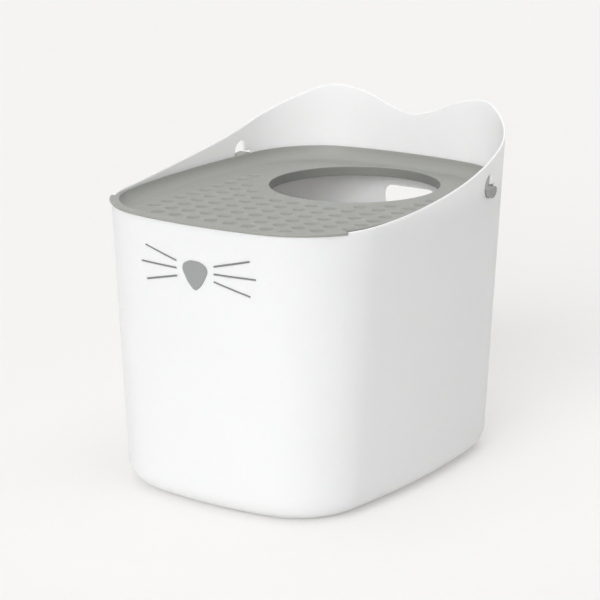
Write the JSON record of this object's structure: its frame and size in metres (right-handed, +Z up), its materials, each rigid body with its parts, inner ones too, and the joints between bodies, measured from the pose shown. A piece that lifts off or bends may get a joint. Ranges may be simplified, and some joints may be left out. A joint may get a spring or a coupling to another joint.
{
  "type": "top entry litter box",
  "caption": "Deep tub with rounded corners whose back rim rises into ears, and a hinged tray lid with a round entry hole and a field of shallow dimples.",
  "frame": {"origin": "middle of the whole part's footprint, on the floor", "axes": "+Z up; the front, with the face, looks along -Y; the hand slot is on the +Y side; +X is to the right of someone who faces the front"},
  "size_m": [0.4184, 0.5024, 0.4671],
  "materials": {
    "tub_plastic": "satin moulded plastic, white",
    "lid_plastic": "satin moulded plastic, mid grey",
    "inlay_plastic": "matte, mid grey"
  },
  "bodies": {
    "tub_body": {"tub": "tub_plastic", "nose_inlay": "inlay_plastic", "whisker_left_upper": "inlay_plastic", "whisker_left_middle": "inlay_plastic", "whisker_left_lower": "inlay_plastic", "whisker_right_upper": "inlay_plastic", "whisker_right_middle": "inlay_plastic", "whisker_right_lower": "inlay_plastic"},
    "lid_body": {"lid": "lid_plastic"}
  },
  "joints": [
    {"name": "lid_hinge", "type": "hinge", "parent": "tub_body", "child": "lid_body", "pos_m": [0, 0.11753, 0.37511], "axis": [-1, 0, 0], "range_deg": [0, 105]}
  ]
}
